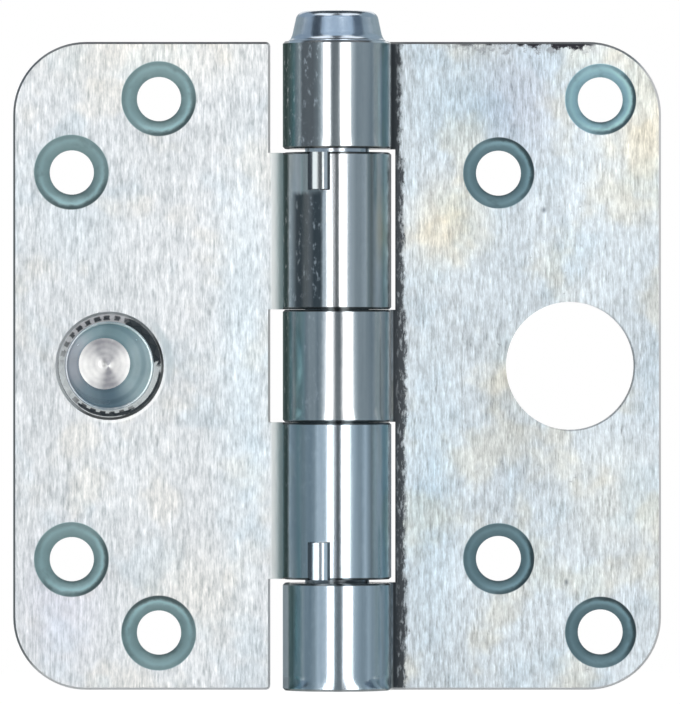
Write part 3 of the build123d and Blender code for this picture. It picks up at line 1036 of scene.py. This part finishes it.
class HINGE_OT_set_stage(bpy.types.Operator):
    """Sets the white floor and world, the cards, the lamps and the camera"""

    bl_idname = "hinge.set_stage"
    bl_label = "Set the Stage"

    def execute(self, context):
        stage = context.scene.hinge_stage
        aim = Vector(stage.aim)
        self.set_world(context)
        self.lay_floor(stage)
        for name, start, end, low, high, colour in CARDS:
            self.hang_card(name, self.spot(start, end, low, high, stage, aim), colour)
        for name, start, end, low, high in LAMPS:
            self.hang_lamp(name, self.spot(start, end, low, high, stage, aim), stage.lamp_level)
        back = Vector((0.0, -stage.camera_distance, 0.0))
        bpy.ops.object.camera_add(location=aim + back, rotation=(pi / 2, 0.0, 0.0))
        camera = context.object
        to_leaf = stage.camera_distance + context.scene.hinge_leaf.front
        camera.data.lens = camera.data.sensor_width * to_leaf / stage.frame_height
        context.scene.camera = camera
        context.scene.view_settings.view_transform = "Standard"
        return {"FINISHED"}

    def set_world(self, context):
        """A surround that is seen as white and lights the hinge with about a third of that."""
        world = bpy.data.worlds.new("white_surround")
        world.use_nodes = True
        context.scene.world = world
        air = Finish(world.node_tree)
        shown = {"Color": WHITE, "Strength": white_rays(air) * 0.65 + 0.35}
        surface = air.node("ShaderNodeBackground", None, shown)
        air.node("ShaderNodeOutputWorld", None, {"Surface": surface})

    def lay_floor(self, stage):
        """A white disc under the hinge that its reflections don't show."""
        bpy.ops.object.select_all(action="DESELECT")
        bpy.ops.mesh.primitive_circle_add(vertices=128, radius=stage.floor_radius, fill_type="NGON")
        floor = bpy.context.object
        floor.name = "white_floor"
        material, paint = new_material("white_floor_paint")
        matt = paint.node("ShaderNodeBsdfDiffuse", None, {"Color": FLOOR_PAINT})
        glow = paint.node("ShaderNodeEmission", None, {"Color": WHITE, "Strength": 1.2})
        mixed = paint.node("ShaderNodeMixShader", None, {0: white_rays(paint) * 0.8, 1: matt, 2: glow})
        paint.node("ShaderNodeOutputMaterial", None, {"Surface": mixed})
        dress(floor, material)
        floor.visible_glossy = False

    def spot(self, start, end, low, high, stage, aim):
        """Place, direction to the pin, width and height of a card or lamp."""
        turn = radians((start + end) / 2)
        climb = radians((low + high) / 2)
        outward = Vector((sin(turn) * cos(climb), -cos(turn) * cos(climb), sin(climb)))
        width = 2 * stage.tent_reach * tan(radians((end - start) / 2))
        height = 2 * stage.tent_reach * tan(radians((high - low) / 2))
        return aim + outward * stage.tent_reach, -outward, width, height

    def hang_card(self, name, spot, colour):
        """A card of one colour that only the metal's reflections see."""
        place, inward, width, height = spot
        bpy.ops.object.select_all(action="DESELECT")
        bpy.ops.mesh.primitive_plane_add(size=1.0, location=place)
        card = bpy.context.object
        card.name = name
        card.rotation_euler = inward.to_track_quat("Z", "Y").to_euler()
        card.scale = (width, height, 1.0)
        material, paint = new_material(name + "_paint")
        glow = paint.node("ShaderNodeEmission", None, {"Color": (*colour, 1.0), "Strength": 1.0})
        paint.node("ShaderNodeOutputMaterial", None, {"Surface": glow})
        dress(card, material)
        card.visible_camera = False
        card.visible_diffuse = False
        card.visible_shadow = False
        card.visible_transmission = False

    def hang_lamp(self, name, spot, level):
        """A strip lamp whose face is as bright as its level."""
        place, inward, width, height = spot
        bpy.ops.object.light_add(type="AREA", location=place)
        lamp = bpy.context.object
        lamp.name = name
        lamp.rotation_euler = inward.to_track_quat("-Z", "Y").to_euler()
        lamp.data.shape = "RECTANGLE"
        lamp.data.size = width
        lamp.data.size_y = height
        lamp.data.energy = level * pi * width * height
        lamp.visible_camera = False


def white_rays(finish):
    """1 for the rays that see the white background: camera, glossy and transmission."""
    path = finish.node("ShaderNodeLightPath").socket.node
    kinds = ("Is Camera Ray", "Is Glossy Ray", "Is Transmission Ray")
    camera, glossy, transmission = [Wire(finish, path.outputs[kind]) for kind in kinds]
    return finish.most(finish.most(camera, glossy), transmission)


class HINGE_PT_looks(bpy.types.Panel):
    """The steps that dress the hinge"""

    bl_idname = "HINGE_PT_looks"
    bl_label = "Hinge Looks"
    bl_space_type = "VIEW_3D"
    bl_region_type = "UI"
    bl_category = "Hinge"

    def draw(self, context):
        for step in STEPS:
            self.layout.operator(step.bl_idname)


STEPS = (HINGE_OT_finish_leaves, HINGE_OT_turn_pin, HINGE_OT_turn_stud, HINGE_OT_set_stage)
GROUPS = {
    "hinge_leaf": HingeLeafSettings,
    "hinge_pin": HingePinSettings,
    "hinge_stud": HingeStudSettings,
    "hinge_stage": HingeStageSettings,
}


def register():
    for name, group in GROUPS.items():
        bpy.utils.register_class(group)
        setattr(bpy.types.Scene, name, PointerProperty(type=group))
    for step in (*STEPS, HINGE_PT_looks):
        bpy.utils.register_class(step)


def unregister():
    for step in (HINGE_PT_looks, *reversed(STEPS)):
        bpy.utils.unregister_class(step)
    for name, group in GROUPS.items():
        delattr(bpy.types.Scene, name)
        bpy.utils.unregister_class(group)


def main():
    register()
    bpy.ops.hinge.finish_leaves()
    bpy.ops.hinge.turn_pin()
    bpy.ops.hinge.turn_stud()
    bpy.ops.hinge.set_stage()


if __name__ == "__main__":
    main()
